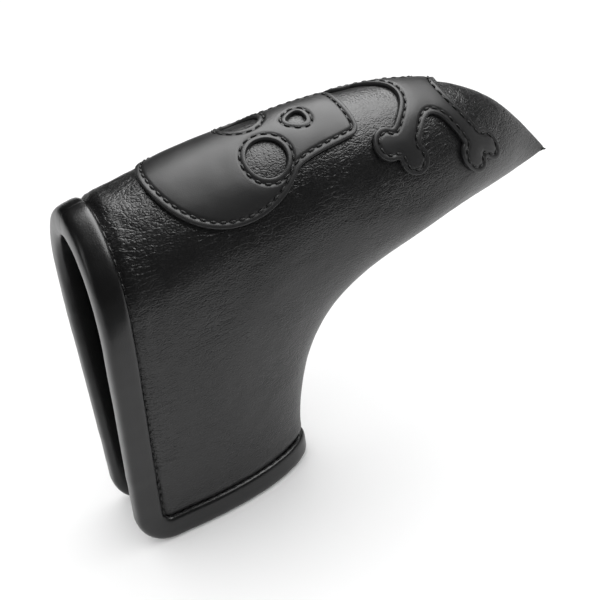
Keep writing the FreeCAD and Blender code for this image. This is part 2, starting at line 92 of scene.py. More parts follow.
class Layer:
    """One face of the wall, at a depth in mm below the leather's outer face."""

    def __init__(self, depth):
        self.depth = depth
        self.ridge = RIDGE + RIDGE_MOVE * depth
        self.seam = SEAM + SEAM_MOVE * depth
        self.seam[0, 1] = 0.0
        t = np.linspace(-0.1, 1, 221)
        self.ridge_line, self.seam_line = bezier(self.ridge, t), bezier(self.seam, t)

    def half_width(self, x, z):
        shape = x.shape
        x, z = x.ravel(), z.ravel()
        p = np.stack([x, z], 1)
        low = LOW_AT_MOUTH + (LOW_AT_SEAM - LOW_AT_MOUTH) * np.clip(x / SEAM[0, 0], 0, 1)
        high = HIGH_AT_MOUTH + (HIGH_BEYOND - HIGH_AT_MOUTH) * smooth(x / 70)
        width = low + (high - low) * smooth(z / 95)
        along = np.clip((x - TAPER_START) / (RIDGE[-1, 0] - TAPER_START), 0, 1)
        width = width * (1 - TOE_TAPER * along ** 2) - self.depth
        seam_round = SEAM_ROUND_NECK + (SEAM_ROUND_TOE - SEAM_ROUND_NECK) * smooth((x - 60) / 50)
        for line, radius in ((self.ridge_line, RIDGE_ROUND), (self.seam_line, seam_round)):
            rest = 1 - np.clip(line_distance(p, line) / (radius - 0.8 * self.depth), 0, 1)
            width = width * np.sqrt(1 - rest ** 2)
        return np.maximum(width, 0).reshape(shape)

    def points(self, x, z, y_zero=None):
        """Places on the front half, in mm, in the row frame."""
        y = -self.half_width(x, z)
        if y_zero is not None:
            y[y_zero] = 0.0
        return np.stack([x - CENTRE_X, y, z + HEM_Z], -1)


LAYERS = {}


def layer(depth):
    key = round(float(depth), 4)
    if key not in LAYERS:
        LAYERS[key] = Layer(key)
    return LAYERS[key]


# ---- the edge in the side view --------------------------------------------------------------------
EDGE_ALONG = (RIDGE[0] - MOUTH_FOOT) / np.linalg.norm(RIDGE[0] - MOUTH_FOOT)
EDGE_OUT = np.array([-EDGE_ALONG[1], EDGE_ALONG[0]])
CORNER = np.array([MOUTH_FOOT[0] + CORNER_RADIUS * (1 + EDGE_ALONG[0]) / EDGE_ALONG[1], CORNER_RADIUS])


def ridge_meets_mouth(face, inset):
    t = np.linspace(-0.09, 0.14, 400)
    inside = -((bezier(face.ridge, t) - MOUTH_FOOT) @ EDGE_OUT)
    return float(np.interp(inset, inside, t))


def seam_at(face, z):
    t = np.linspace(-0.09, 0.3, 400)
    return float(np.interp(z, bezier(face.seam, t)[:, 1], t))


def mouth_point(inset, z):
    foot = MOUTH_FOOT - EDGE_OUT * inset
    return foot + EDGE_ALONG * ((z - foot[1]) / EDGE_ALONG[1])


def edge_path(face, inset, places):
    """Side-view points along the edge, inside by an inset. Places run 0 to 1 along the hem from the
    seam, 1 to 2 round the corner and 2 to 3 up the mouth to the ridge."""
    radius = CORNER_RADIUS - inset
    start, end = 1.5 * math.pi, math.atan2(EDGE_OUT[1], EDGE_OUT[0])
    seam_end = bezier(face.seam, seam_at(face, inset))
    top = bezier(face.ridge, ridge_meets_mouth(face, inset))
    on_hem = CORNER + np.array([0, -radius])
    on_mouth = CORNER + EDGE_OUT * radius
    t = places[:, None]
    angle = start + (end - start) * np.clip(t - 1, 0, 1)
    arc = CORNER + radius * np.hstack([np.cos(angle), np.sin(angle)])
    hem = seam_end + (on_hem - seam_end) * np.clip(t, 0, 1)
    mouth = on_mouth + (top - on_mouth) * np.clip(t - 2, 0, 1)
    return np.where(t < 1, hem, np.where(t < 2, arc, mouth))


def crowd_end(n):
    return np.sin(np.pi / 2 * np.linspace(0, 1, n))


def bend_frame():
    """Middle of the front flap's bending line, and the way across it to the flap."""
    ends = [mouth_point(0, BEND_MOUTH_Z), np.array([BEND_HEM_X, 0.0])]
    a, b = [layer(0).points(np.array([e[0]]), np.array([e[1]]))[0] - [0, BEND_PROUD, 0] for e in ends]
    along = (b - a) / np.linalg.norm(b - a)
    inwards = np.array([0, 1, 0]) - along * along[1]
    across = np.cross(inwards / np.linalg.norm(inwards), along)
    across = across if across[0] < 0 else -across
    return (a + b) / 2, across


# ---- meshes ---------------------------------------------------------------------------------------
def mesh_object(name, verts, faces, material, mirror=False):
    """verts in mm. mirror gives the back's copy."""
    verts = np.array(verts, float) * MM
    if mirror:
        verts[:, 1] *= -1
        faces = [tuple(reversed(f)) for f in faces]
    mesh = bpy.data.meshes.new(name)
    mesh.from_pydata(verts.tolist(), [], faces)
    mesh.validate()
    mesh.polygons.foreach_set("use_smooth", [True] * len(mesh.polygons))
    mesh.materials.append(material)
    obj = bpy.data.objects.new(name, mesh)
    bpy.context.scene.collection.objects.link(obj)
    return obj


def grid_faces(rows, cols, start=0, closed_cols=False):
    i, j = np.meshgrid(np.arange(rows - 1), np.arange(cols if closed_cols else cols - 1), indexing="ij")
    jn = (j + 1) % cols
    quad = np.stack([i * cols + j, (i + 1) * cols + j, (i + 1) * cols + jn, i * cols + jn], -1)
    return [tuple(q) for q in (quad.reshape(-1, 4) + start).tolist()]


def closed_sheet(outer, inner):
    """A closed skin from two grids of points of the same size."""
    rows, cols = outer.shape[:2]
    n = rows * cols
    faces = grid_faces(rows, cols)
    faces += [tuple(reversed(f)) for f in grid_faces(rows, cols, start=n)]
    rim = [k for k in range(cols)] + [r * cols + cols - 1 for r in range(1, rows)]
    rim += [(rows - 1) * cols + k for k in range(cols - 2, -1, -1)]
    rim += [r * cols for r in range(rows - 2, 0, -1)]
    for a, b in zip(rim, rim[1:] + rim[:1]):
        faces.append((a, b, b + n, a + n))
    return np.vstack([outer.reshape(-1, 3), inner.reshape(-1, 3)]), faces


def grid_normals(p):
    """Outward directions of a grid on the front half."""
    n = np.cross(np.gradient(p, axis=0), np.gradient(p, axis=1))
    n /= np.maximum(np.linalg.norm(n, axis=2, keepdims=True), 1e-9)
    return n


def wall_grid(depth, inset, ni, nj):
    """A whole front half at a depth, from an inset inside the mouth and the hem."""
    face = layer(depth)
    i, j = np.meshgrid(crowd_end(ni), crowd_end(nj), indexing="ij")
    t_ridge, t_seam = ridge_meets_mouth(face, inset), seam_at(face, inset)
    corner = mouth_point(inset, inset)
    b, d, tip = bezier(face.ridge, t_ridge), bezier(face.seam, t_seam), face.ridge[-1]
    ridge = bezier(face.ridge, t_ridge + (1 - t_ridge) * i)
    seam = bezier(face.seam, t_seam + (1 - t_seam) * j)
    i, j = i[..., None], j[..., None]
    mouth, hem = corner + (b - corner) * j, corner + (d - corner) * i
    blend = (1 - i) * (1 - j) * corner + (1 - i) * j * b + i * j * tip + i * (1 - j) * d
    side = (1 - i) * mouth + i * seam + (1 - j) * hem + j * ridge - blend
    zero = np.zeros(side.shape[:2], bool)
    zero[-1, :] = zero[:, -1] = True
    return side, face.points(side[..., 0], side[..., 1], zero)


def noise_at(points, size, octaves=1, seed=0.0, stretch=(1, 1, 1)):
    """Smooth noise from -1 to 1 at places in mm, with features of a size in mm."""
    q = np.asarray(points, float).reshape(-1, 3) / size / np.array(stretch) + seed
    total = np.zeros(len(q))
    for k in range(octaves):
        total += np.array([noise.noise(v) for v in (q * 2 ** k).tolist()]) / 2 ** k
    return total.reshape(np.asarray(points).shape[:-1])


# ---- materials ------------------------------------------------------------------------------------
class Nodes:
    """A short way to wire a material's nodes."""

    def __init__(self, name):
        self.material = bpy.data.materials.new(name)
        self.material.use_nodes = True
        self.tree = self.material.node_tree
        self.shader = self.tree.nodes["Principled BSDF"]
        self.place = self.tree.nodes.new("ShaderNodeTexCoord").outputs["Object"]

    def add(self, kind, **values):
        node = self.tree.nodes.new("ShaderNode" + kind)
        for key, value in values.items():
            if isinstance(value, bpy.types.NodeSocket):
                self.tree.links.new(value, node.inputs[key.replace("_", " ")])
            elif key.replace("_", " ") in node.inputs:
                node.inputs[key.replace("_", " ")].default_value = value
            else:
                setattr(node, key, value)
        return node

    def mapping(self, scale, rotation=(0, 0, 0)):
        return self.add("Mapping", Vector=self.place, Scale=scale, Rotation=rotation).outputs[0]

    def noise(self, size_mm, detail=2.0, roughness=0.5, distortion=0.0, stretch=(1, 1, 1)):
        where = self.mapping([1000 / size_mm / s for s in stretch])
        return self.add("TexNoise", Vector=where, Scale=1.0, Detail=detail, Roughness=roughness,
                        Distortion=distortion).outputs["Fac"]

    def cells(self, size_mm, feature="DISTANCE_TO_EDGE", warp=None, stretch=(1, 1, 1)):
        where = self.mapping([1000 / size_mm / s for s in stretch])
        if warp is not None:
            mixed = self.add("VectorMath", operation="ADD")
            self.tree.links.new(where, mixed.inputs[0])
            self.tree.links.new(warp, mixed.inputs[1])
            where = mixed.outputs[0]
        return self.add("TexVoronoi", feature=feature, Vector=where, Scale=1.0).outputs["Distance"]

    def ramp(self, value, low, high, to_low=0.0, to_high=1.0):
        node = self.add("MapRange", Value=value)
        for key, number in (("From Min", low), ("From Max", high), ("To Min", to_low), ("To Max", to_high)):
            node.inputs[key].default_value = number
        return node.outputs[0]

    def math(self, operation, a, b=0.0):
        node = self.add("Math", operation=operation)
        for k, value in enumerate((a, b)):
            if isinstance(value, bpy.types.NodeSocket):
                self.tree.links.new(value, node.inputs[k])
            else:
                node.inputs[k].default_value = value
        return node.outputs[0]

    def bump(self, height, distance_mm, strength=1.0, normal=None):
        node = self.add("Bump", Strength=strength, Distance=distance_mm * MM, Height=height)
        if normal is not None:
            self.tree.links.new(normal, node.inputs["Normal"])
        return node.outputs[0]

    def colours(self, value, dark, light):
        node = self.add("ValToRGB", Fac=value)
        node.color_ramp.elements[0].color = (*dark, 1)
        node.color_ramp.elements[1].color = (*light, 1)
        return node.outputs[0]

    def finish(self, colour, roughness, normal, **constants):
        for key, socket in (("Base Color", colour), ("Roughness", roughness), ("Normal", normal)):
            self.tree.links.new(socket, self.shader.inputs[key])
        for key, value in constants.items():
            self.shader.inputs[key.replace("_", " ")].default_value = value
        return self.material


def body_leather():
    n = Nodes("body_leather")
    warp = n.add("TexNoise", Vector=n.mapping([300] * 3), Scale=1.0, Detail=2.0).outputs["Color"]
    grain = n.ramp(n.cells(0.85, warp=warp, stretch=(1.3, 1.3, 0.9)), 0.0, 0.34)
    crease = n.ramp(n.cells(2.2, warp=warp, stretch=(2.2, 1.4, 0.7)), 0.0, 0.10)
    where = n.ramp(n.noise(17, detail=3), 0.38, 0.62)
    normal = n.bump(grain, 0.09, 0.6)
    normal = n.bump(n.math("MULTIPLY", crease, where), 0.13, 0.6, normal)
    normal = n.bump(n.noise(0.4, detail=3), 0.02, 0.5, normal)
    patchy = n.noise(24, detail=3)
    rough = n.ramp(n.math("ADD", patchy, n.math("MULTIPLY", grain, -0.35)), 0.0, 1.0, 0.42, 0.28)
    colour = n.colours(n.noise(9, detail=4), (0.0032, 0.0032, 0.0034), (0.0058, 0.0058, 0.0062))
    return n.finish(colour, rough, normal, IOR=1.5, Specular_IOR_Level=0.5)


def smooth_leather():
    n = Nodes("smooth_leather")
    grain = n.ramp(n.cells(0.55), 0.0, 0.3)
    normal = n.bump(grain, 0.02, 0.35)
    normal = n.bump(n.noise(2.2, detail=3), 0.05, 0.4, normal)
    rough = n.ramp(n.noise(11, detail=3), 0.2, 0.8, 0.40, 0.48)
    colour = n.colours(n.noise(15, detail=3), (0.0085, 0.0085, 0.0088), (0.0125, 0.0125, 0.013))
    return n.finish(colour, rough, normal, IOR=1.48)


def binding_leather():
    n = Nodes("binding_leather")
    grain = n.ramp(n.cells(0.7), 0.0, 0.3)
    normal = n.bump(grain, 0.03, 0.4)
    normal = n.bump(n.noise(3.0, detail=3), 0.08, 0.4, normal)
    rough = n.ramp(n.noise(8, detail=3), 0.2, 0.8, 0.27, 0.36)
    colour = n.colours(n.noise(10, detail=3), (0.0035, 0.0035, 0.0037), (0.006, 0.006, 0.0063))
    return n.finish(colour, rough, normal, IOR=1.5)


def cut_edge():
    n = Nodes("cut_edge")
    normal = n.bump(n.noise(0.4, detail=3), 0.05, 0.8)
    rough = n.ramp(n.noise(1.2), 0.2, 0.8, 0.45, 0.6)
    colour = n.colours(n.noise(1.6, detail=3), (0.010, 0.010, 0.0105), (0.018, 0.018, 0.0185))
    return n.finish(colour, rough, normal)


def thread():
    n = Nodes("thread")
    where = n.mapping([2200] * 3, (0.6, 0.4, 0.8))
    twist = n.add("TexWave", Vector=where, Scale=0.5, Distortion=0.6).outputs["Fac"]
    normal = n.bump(twist, 0.05, 0.8)
    rough = n.ramp(n.noise(1.0), 0.2, 0.8, 0.45, 0.62)
    colour = n.colours(n.noise(1.5), (0.002, 0.002, 0.0022), (0.0045, 0.0045, 0.005))
    return n.finish(colour, rough, normal)


def plush():
    n = Nodes("plush")
    pile = n.noise(0.55, detail=4, roughness=0.7)
    normal = n.bump(pile, 0.35, 1.0)
    rough = n.ramp(n.noise(4, detail=3), 0.2, 0.8, 0.85, 0.98)
    # The colour follows the pile's height: lighter on the raised tufts and darker in the hollows between
    # them, which is painted shade.
    colour = n.colours(pile, (0.002, 0.002, 0.0022), (0.011, 0.011, 0.0115))
    return n.finish(colour, rough, normal, Sheen_Weight=0.35, Sheen_Roughness=0.4)


def woven_cloth():
    n = Nodes("pocket_cloth")
    warp = n.add("TexWave", Vector=n.mapping([900, 900, 900]), Scale=1.0).outputs["Fac"]
    weft = n.add("TexWave", bands_direction="Z", Vector=n.mapping([900, 900, 900]), Scale=1.0).outputs["Fac"]
    normal = n.bump(n.math("MULTIPLY", warp, weft), 0.12, 0.8)
    rough = n.ramp(n.noise(3), 0.2, 0.8, 0.75, 0.9)
    colour = n.colours(n.noise(2), (0.008, 0.008, 0.0085), (0.016, 0.016, 0.017))
    return n.finish(colour, rough, normal)


def padding_foam():
    n = Nodes("foam")
    normal = n.bump(n.ramp(n.cells(0.5), 0.0, 0.35), 0.15, 0.8)
    rough = n.ramp(n.noise(3), 0.2, 0.8, 0.85, 0.95)
    colour = n.colours(n.noise(2.5, detail=3), (0.03, 0.03, 0.032), (0.06, 0.06, 0.065))
    return n.finish(colour, rough, normal)


def nickel():
    n = Nodes("magnet_steel")
    normal = n.bump(n.noise(0.8, detail=3), 0.01, 0.4)
    rough = n.ramp(n.noise(3, detail=3), 0.2, 0.8, 0.16, 0.28)
    colour = n.colours(n.noise(5), (0.55, 0.55, 0.57), (0.66, 0.66, 0.68))
    return n.finish(colour, rough, normal, Metallic=1.0)


def white_floor():
    n = Nodes("studio_white")
    normal = n.bump(n.noise(3.0, detail=2), 0.02, 0.1)
    rough = n.ramp(n.noise(60), 0.2, 0.8, 0.55, 0.65)
    colour = n.colours(n.noise(200), (0.9, 0.9, 0.9), (0.92, 0.92, 0.92))
    return n.finish(colour, rough, normal)


def black_cloth():
    n = Nodes("black_flag")
    normal = n.bump(n.noise(3.0, detail=2), 0.1, 0.3)
    rough = n.ramp(n.noise(60), 0.2, 0.8, 0.9, 0.98)
    colour = n.colours(n.noise(50), (0.004, 0.004, 0.004), (0.008, 0.008, 0.008))
    return n.finish(colour, rough, normal)


MAT = {"body": body_leather(), "smooth": smooth_leather(), "binding": binding_leather(), "edge": cut_edge(),
       "thread": thread(), "plush": plush(), "cloth": woven_cloth(), "foam": padding_foam(),
       "nickel": nickel(), "floor": white_floor(), "flag": black_cloth()}
MIDDLE, ACROSS = bend_frame()
SIDES = (("front", False), ("back", True))


def attach(obj):
    """Bakes a half's piece's placement into its mesh."""
    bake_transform(obj)


# ---- the leather skin -----------------------------------------------------------------------------
SKIN_INSET = 4.5        # the leather ends this far inside the edge, under the binding
DITCH_INSET = 7.3       # where the binding's stitching pulls the leather down
SKIN_GRID, PAD_GRID, PILE_GRID = (330, 230), (90, 70), (240, 180)


def edge_inset(side):
    """How far inside the mouth or hem edge a side-view place lies, with the corner's rounding."""
    mouth = -((side - MOUTH_FOOT) @ EDGE_OUT)
    hem = side[..., 1]
    nearest = np.minimum(mouth, hem)
    in_corner = (mouth < CORNER_RADIUS) & (hem < CORNER_RADIUS)
    rounded = CORNER_RADIUS - np.linalg.norm(side - CORNER, axis=-1)
    return np.where(in_corner, rounded, nearest)


def soft_relief(p):
    return 0.30 * noise_at(p, 30, 2, 3.1) + 0.10 * noise_at(p, 9, 2, 7.7)


def skin_relief(side, p):
    """How far the leather stands out of its plain shape, in mm."""
    seam_gap = line_distance(side.reshape(-1, 2), layer(0).seam_line).reshape(side.shape[:2])
    inset = edge_inset(side)
    soft = soft_relief(p)
    lines = noise_at(p, 5.0, 2, 1.3, stretch=(2.4, 1.5, 0.75))
    crinkle = -0.035 * np.exp(-(lines / 0.10) ** 2)
    near_mouth = np.exp(-((inset - 12) / 8.0) ** 2) * smooth((side[..., 1] - 55) / 35)
    folds = noise_at(p, 9.0, 2, 5.9, stretch=(0.8, 1.2, 1.9))
    fold = -0.22 * near_mouth * np.exp(-(folds / 0.16) ** 2)
    ditch = -0.85 * np.exp(-((inset - DITCH_INSET) / 1.3) ** 2)
    puff = 0.25 * np.exp(-((inset - 10.5) / 2.5) ** 2)
    keep = smooth(seam_gap / 2.5) * 0.9 + 0.1
    seam = -0.7 * np.exp(-(seam_gap / 0.9) ** 2)
    return (soft + crinkle + fold) * keep + ditch + puff + seam


def build_skin():
    side, outer = wall_grid(0, SKIN_INSET, *SKIN_GRID)
    normals = grid_normals(outer)
    normals[-1, :, 1] = normals[:, -1, 1] = 0
    normals /= np.maximum(np.linalg.norm(normals, axis=2, keepdims=True), 1e-9)
    relief = skin_relief(side, outer)
    outer = outer + normals * relief[..., None]
    inner = wall_grid(LEATHER, SKIN_INSET, *SKIN_GRID)[1] + normals * relief[..., None]
    verts, faces = closed_sheet(outer, inner)
    for name, mirror in SIDES:
        skin = mesh_object("leather_" + name, verts, faces, MAT["body"], mirror)
        attach(skin)
        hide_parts("leather_shell", name + "_flap_leather")


build_skin()


PAD_INSET = 4.6        # a square corner this far inside stays under the rounded one


def build_padding_and_lining():
    side, foam_out = wall_grid(LEATHER + 0.15, PAD_INSET, *PAD_GRID)
    push = 0.75 + 1.3 * np.exp(-((edge_inset(side) - DITCH_INSET) / 2.6) ** 2)
    normals = grid_normals(foam_out)
    normals[-1, :, 1] = normals[:, -1, 1] = 0
    foam_out = foam_out - normals * push[..., None]
    foam_in = wall_grid(LEATHER + FOAM - GAP, PAD_INSET, *PAD_GRID)[1]
    foam_verts, foam_faces = closed_sheet(foam_out, foam_in)

    side, pile = wall_grid(WALL - 0.2, PAD_INSET, *PILE_GRID)
    normals = grid_normals(pile)
    tuft = 0.30 + 0.35 * noise_at(pile, 1.5, 2, 2.2) + 0.25 * noise_at(pile, 6.0, 2, 4.4)
    tuft[-1, :] = tuft[:, -1] = 0.3
    normals[-1, :, 1] = normals[:, -1, 1] = 0
    pile = pile - normals * tuft[..., None]
    pile[..., 1] = np.minimum(pile[..., 1], 0)
    backing = wall_grid(LEATHER + FOAM, PAD_INSET, *PILE_GRID)[1]
    pile_verts, pile_faces = closed_sheet(backing, pile)
    for name, mirror in SIDES:
        pad = mesh_object("padding_" + name, foam_verts, foam_faces, MAT["foam"], mirror)
        attach(pad)
        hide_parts("foam_%s_panel" % name, name + "_flap_foam")
        lining = mesh_object("plush_lining_" + name, pile_verts, pile_faces, MAT["plush"], mirror)
        attach(lining)
        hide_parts("plush_lining", name + "_flap_lining")


# ---- the binding ----------------------------------------------------------------------------------
# The strip's section as (distance inside the edge, depth): outside, round the edge, inside, and back
# along the strip's underside.
SECTION_OUT = [(7.35, 0.75), (7.15, 0.1), (6.7, -0.55), (5.9, -0.95), (4.6, -1.12), (3.0, -1.22),
               (1.5, -1.27), (0.3, -1.12), (-0.5, -0.62), (-0.98, 0.3), (-1.2, 1.5), (-1.26, 2.8),
               (-1.2, 4.1), (-0.98, 5.3), (-0.5, 6.2), (0.4, 6.72), (1.6, 6.86), (3.4, 6.84),
               (4.9, 6.7), (5.8, 6.4), (6.1, 5.95)]
SECTION_IN = [(5.9, 5.72), (4.4, 5.68), (1.4, 5.68), (0.3, 5.5), (0.0, 4.6), (0.0, 2.8), (0.0, 1.0),
              (0.3, 0.05), (1.4, -0.1), (4.4, -0.06), (6.2, 0.12), (7.0, 0.7)]


def round_off(points, rounds=2, closed=False):
    """Cuts a line's corners a few times over."""
    points = np.array(points, float)
    for k in range(rounds):
        nxt = np.roll(points, -1, axis=0) if closed else points[1:]
        here = points if closed else points[:-1]
        cut = np.stack([0.75 * here + 0.25 * nxt, 0.25 * here + 0.75 * nxt], 1).reshape(-1, 2)
        points = cut if closed else np.vstack([points[:1], cut, points[-1:]])
    return points


EDGE_PLACES = np.concatenate([1 - crowd_end(70)[::-1], 1 + np.linspace(0, 1, 34)[1:], 2 + crowd_end(190)[1:]])


def build_binding():
    section = np.vstack([round_off(SECTION_OUT, 1), round_off(SECTION_IN, 1)])
    rows = []
    for inset, depth in section:
        face = layer(depth)
        line = edge_path(face, inset, EDGE_PLACES)
        zero = np.zeros(len(line), bool)
        zero[0] = zero[-1] = True
        rows.append(face.points(line[:, 0], line[:, 1], zero))
    grid = np.stack(rows, 1)
    pull = 0.10 * noise_at(grid[:, :1], 7, 2, 9.1)
    wave = grid + 0
    centre = grid.mean(1, keepdims=True)
    out = grid - centre
    out /= np.maximum(np.linalg.norm(out, axis=2, keepdims=True), 1e-9)
    out[0, :, 1] = out[-1, :, 1] = 0
    wave += out * (pull * (out[..., 2] > -2))[..., None]
    wave[..., 2] = np.maximum(wave[..., 2], 0.02)
    count, around = wave.shape[:2]
    faces = grid_faces(count, around, closed_cols=True)
    faces += [tuple(range(around)), tuple((count - 1) * around + k for k in range(around - 1, -1, -1))]
    for name, mirror in SIDES:
        strip = mesh_object("binding_" + name, wave.reshape(-1, 3), faces, MAT["binding"], mirror)
        attach(strip)
        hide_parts("mouth_binding", "hem_binding", name + "_flap_binding")


# ---- stitches -------------------------------------------------------------------------------------
def thread_mesh(lines, ups, radius):
    """Closed threads along many short lines of points. lines and ups are (count, points, 3)."""
    count, along = lines.shape[:2]
    sides = 8
    tangent = np.gradient(lines, axis=1)
    tangent /= np.linalg.norm(tangent, axis=2, keepdims=True)
    across = np.cross(tangent, ups)
    across /= np.linalg.norm(across, axis=2, keepdims=True)
    up = np.cross(across, tangent)
    t = np.linspace(-1, 1, along)
    swell = radius * np.sqrt(np.clip(1.02 - np.abs(t) ** 5, 0.02, 1))
    angle = np.linspace(0, 2 * math.pi, sides, endpoint=False)
    sideways = np.cos(angle)[None, None, :, None] * across[:, :, None]
    upwards = np.sin(angle)[None, None, :, None] * up[:, :, None]
    ring = lines[:, :, None] + swell[None, :, None, None] * (sideways + upwards)
    verts = ring.reshape(-1, 3)
    one = grid_faces(along, sides, closed_cols=True)
    one += [tuple(range(sides)), tuple((along - 1) * sides + k for k in range(sides - 1, -1, -1))]
    faces = [tuple(v + k * along * sides for v in f) for k in range(count) for f in one]
    return verts, faces


def run_lengths(line, closed=False):
    if closed:
        line = np.vstack([line, line[:1]])
    return line, np.concatenate([[0], np.cumsum(np.linalg.norm(np.diff(line, axis=0), axis=1))])


def stitch_places(line, pitch, length, points=7, closed=False):
    """Places of each stitch along a 2-D line: (count, points, 2)."""
    line, run = run_lengths(line, closed)
    count = int(run[-1] / pitch)
    starts = np.arange(count) * run[-1] / count + 0.2
    s = starts[:, None] + np.linspace(0, length, points)[None]
    return np.stack([np.interp(s, run, line[:, c]) for c in (0, 1)], -1)


def build_edge_stitches():
    face = layer(0.32)
    line = edge_path(face, DITCH_INSET, EDGE_PLACES)[3:-1]
    spots = stitch_places(line, 3.0, 2.1)
    shape = spots.shape[:2]
    p = face.points(spots[..., 0], spots[..., 1])
    step = 0.3
    du = face.points(spots[..., 0] + step, spots[..., 1]) - p
    dv = face.points(spots[..., 0], spots[..., 1] + step) - p
    ups = np.cross(du, dv)
    ups /= np.linalg.norm(ups, axis=2, keepdims=True)
    lift = 0.22 * np.sin(np.linspace(0, math.pi, shape[1])) - 0.05
    verts, faces = thread_mesh(p + ups * lift[None, :, None], ups, 0.27)
    for name, mirror in SIDES:
        row = mesh_object("edge_stitches_" + name, verts, faces, MAT["thread"], mirror)
        attach(row)
        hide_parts("crown_stitching", name + "_flap_stitching")


# ---- the sewn-on shapes ---------------------------------------------------------------------------
class Top:
    """Places over the ridge by (x, arc length q from the ridge, counted towards the front)."""

    def __init__(self):
        face = layer(0)
        self.x0, self.q0, self.step = 14.0, -50.0, 0.5
        xs = np.arange(self.x0, 157, self.step)
        self.qs = np.arange(self.q0, 50.01, self.step)
        ridge = face.ridge_line
        tops = np.interp(xs, ridge[:, 0], ridge[:, 1])
        drop = 44 * np.linspace(0, 1, 200) ** 2
        z = tops[:, None] - drop[None]
        x = np.repeat(xs[:, None], len(drop), 1)
        y = -face.half_width(x, z)
        y[:, 0] = 0
        run = np.concatenate([np.zeros((len(xs), 1)),
                              np.cumsum(np.hypot(np.diff(y, axis=1), np.diff(z, axis=1)), 1)], 1)
        table = np.empty((len(xs), len(self.qs), 3))
        for k in range(len(xs)):
            table[k, :, 0] = xs[k] - CENTRE_X
            table[k, :, 1] = np.interp(np.abs(self.qs), run[k], y[k]) * np.where(self.qs >= 0, 1, -1)
            table[k, :, 2] = np.interp(np.abs(self.qs), run[k], z[k]) + HEM_Z
        self.table = table
        normal = np.cross(np.gradient(table, axis=1), np.gradient(table, axis=0))
        self.normal = normal / np.linalg.norm(normal, axis=2, keepdims=True)

    def look_up(self, table, x, q):
        u = np.clip((x - self.x0) / self.step, 0, table.shape[0] - 1.001)
        v = np.clip((q - self.q0) / self.step, 0, table.shape[1] - 1.001)
        i, j = u.astype(int), v.astype(int)
        u, v = (u - i)[..., None], (v - j)[..., None]
        return ((1 - u) * (1 - v) * table[i, j] + u * (1 - v) * table[i + 1, j]
                + (1 - u) * v * table[i, j + 1] + u * v * table[i + 1, j + 1])

    def place(self, x, q, height):
        p, n = self.look_up(self.table, x, q), self.look_up(self.normal, x, q)
        n = n / np.linalg.norm(n, axis=-1, keepdims=True)
        return p + n * (height + soft_relief(p))[..., None], n


def inside(points, loop):
    """Which points lie inside a closed loop."""
    x, y = points[:, 0][:, None], points[:, 1][:, None]
    a, b = loop, np.roll(loop, -1, axis=0)
    crosses = (a[:, 1] > y) != (b[:, 1] > y)
    at = a[:, 0] + (y - a[:, 1]) / np.where(b[:, 1] == a[:, 1], 1e-9, b[:, 1] - a[:, 1]) * (b[:, 0] - a[:, 0])
    return (crosses & (x < at)).sum(1) % 2 == 1


def closed_outline(points, axis_q, spacing=0.42):
    line = round_off(points, 3, closed=True)
    line, run = run_lengths(line, True)
    s = np.arange(0, run[-1] - spacing / 2, spacing)
    return np.stack([np.interp(s, run, line[:, 0]), np.interp(s, run, line[:, 1]) + axis_q], 1)


def inner_line(loop, loops, distance, inward):
    """A loop moved into the material, without the points that come too near to another edge."""
    tangent = np.roll(loop, -1, axis=0) - np.roll(loop, 1, axis=0)
    normal = np.stack([-tangent[:, 1], tangent[:, 0]], 1)
    normal /= np.linalg.norm(normal, axis=1, keepdims=True)
    moved = loop + normal * distance * inward
    gap = np.min([line_distance(moved, other, True) for other in loops], axis=0)
    return moved[gap > distance * 0.93]


def turn_of(loop):
    a, b = loop, np.roll(loop, -1, axis=0)
    return 1 if (a[:, 0] * b[:, 1] - b[:, 0] * a[:, 1]).sum() > 0 else -1


APPLIQUE, STITCH_INSET = 1.3, 1.75
STITCH_PITCH, STITCH_LENGTH, THREAD_RADIUS = 2.9, 2.0, 0.32


def sew(name, loops, inward, stitch_node, top):
    """The row of stitches along each of a shape's edges."""
    rows = []
    for l, w in zip(loops, inward):
        line = inner_line(l, loops, STITCH_INSET, w)
        rows.append(stitch_places(line, STITCH_PITCH, STITCH_LENGTH, closed=True))
    spots = np.concatenate(rows)
    span = np.linalg.norm(np.diff(spots, axis=1), axis=2).max(1)
    spots = spots[span < 0.6]
    arch = 0.20 * np.sin(np.linspace(0, math.pi, spots.shape[1]))
    lift = np.broadcast_to(APPLIQUE - 0.24 + arch, spots.shape[:2])
    lines, ups = top.place(spots[..., 0], spots[..., 1], lift)
    verts, faces = thread_mesh(lines, ups, THREAD_RADIUS)
    row = mesh_object(name + "_stitches", verts, faces, MAT["thread"])
    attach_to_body(row, "crown")
    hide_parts(stitch_node)


